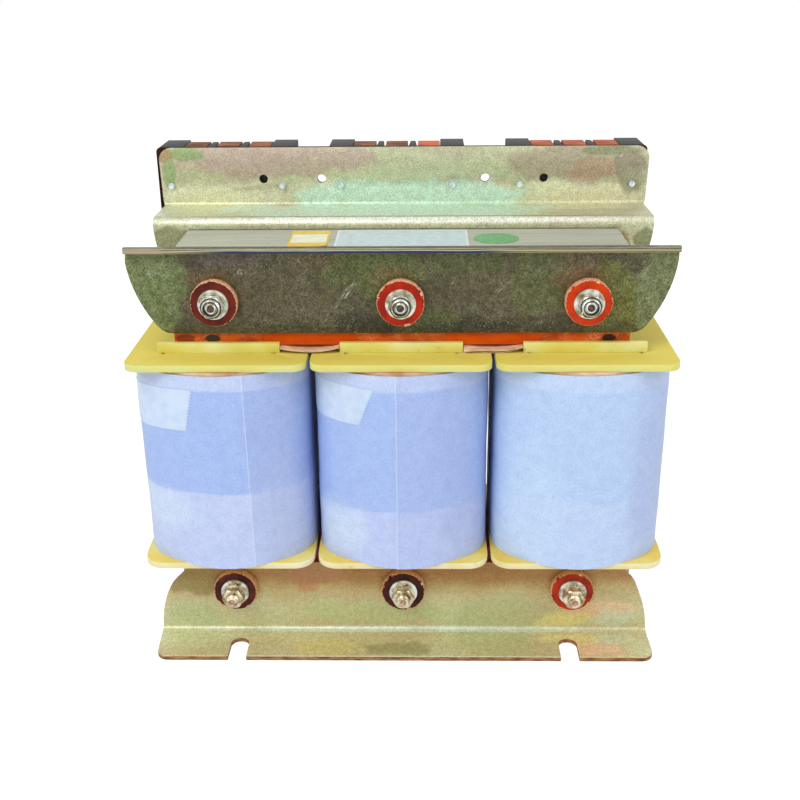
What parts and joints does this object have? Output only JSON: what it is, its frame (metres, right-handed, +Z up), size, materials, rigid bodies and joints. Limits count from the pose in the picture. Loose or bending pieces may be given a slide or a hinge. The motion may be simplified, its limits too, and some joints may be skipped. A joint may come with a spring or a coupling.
{
  "type": "motor starting reactor",
  "caption": "Three-phase iron-core motor starting reactor: taped coils on a bolted laminated core, with folded clamps as feet and a shelf of terminal blocks.",
  "frame": {"origin": "middle of the footprint of the whole part, on the plane the feet stand on", "axes": "+X along the yokes, +Y from the nut side to the terminals, +Z up"},
  "size_m": [0.3366, 0.182, 0.3108],
  "materials": {
    "core_steel": "bare laminated edges, varnished",
    "gap_laminate": "plain glass laminate",
    "zinc_clamp": "yellow passivated zinc, scratched",
    "red_board": "red glass-polyester board",
    "stiff_paper": "stiff insulating paper",
    "bobbin_laminate": "yellow glass laminate",
    "winding_copper": "copper with layer paper",
    "wrap_tape": "pale blue insulating wrap",
    "fastener_steel": "yellow and clear zinc",
    "sleeve_plastic": "insulating tube",
    "block_moulding": "dark moulding",
    "terminal_copper": "bare copper"
  },
  "bodies": {
    "root": {"upper_yoke": "core_steel", "lower_yoke": "core_steel", "leg_left": "core_steel", "leg_middle": "core_steel", "leg_right": "core_steel", "gap_plates": "gap_laminate", "upper_front_clamp": "zinc_clamp", "upper_rear_clamp": "zinc_clamp", "lower_front_clamp": "zinc_clamp", "lower_rear_clamp": "zinc_clamp", "upper_leg_boards": "red_board", "lower_leg_boards": "red_board", "terminal_board": "red_board", "upper_insulating_washers": "red_board", "lower_insulating_washers": "red_board", "upper_window_channel_left": "red_board", "upper_window_channel_right": "red_board", "lower_window_channel_left": "red_board", "lower_window_channel_right": "red_board", "window_sheet_left": "stiff_paper", "window_sheet_right": "stiff_paper", "upper_flange_left": "bobbin_laminate", "upper_flange_middle": "bobbin_laminate", "upper_flange_right": "bobbin_laminate", "lower_flange_left": "bobbin_laminate", "lower_flange_middle": "bobbin_laminate", "lower_flange_right": "bobbin_laminate", "bobbin_tube_left": "bobbin_laminate", "bobbin_tube_middle": "bobbin_laminate", "bobbin_tube_right": "bobbin_laminate", "bobbin_bars_left": "bobbin_laminate", "bobbin_bars_middle": "bobbin_laminate", "bobbin_bars_right": "bobbin_laminate", "winding_left": "winding_copper", "winding_middle": "winding_copper", "winding_right": "winding_copper", "coil_wrap_left": "wrap_tape", "coil_wrap_middle": "wrap_tape", "coil_wrap_right": "wrap_tape", "upper_bolts": "fastener_steel", "lower_bolts": "fastener_steel", "lock_nuts": "fastener_steel", "lower_nuts": "fastener_steel", "spring_washers": "fastener_steel", "upper_steel_washers": "fastener_steel", "lower_steel_washers": "fastener_steel", "terminal_screws": "fastener_steel", "block_screws": "fastener_steel", "upper_sleeves": "sleeve_plastic", "lower_sleeves": "sleeve_plastic", "terminal_block_left": "block_moulding", "terminal_block_middle": "block_moulding", "terminal_block_right": "block_moulding", "terminal_conductors_left": "terminal_copper", "terminal_conductors_middle": "terminal_copper", "terminal_conductors_right": "terminal_copper", "tap_strips_left": "terminal_copper", "tap_strips_middle": "terminal_copper", "tap_strips_right": "terminal_copper"}
  },
  "joints": []
}
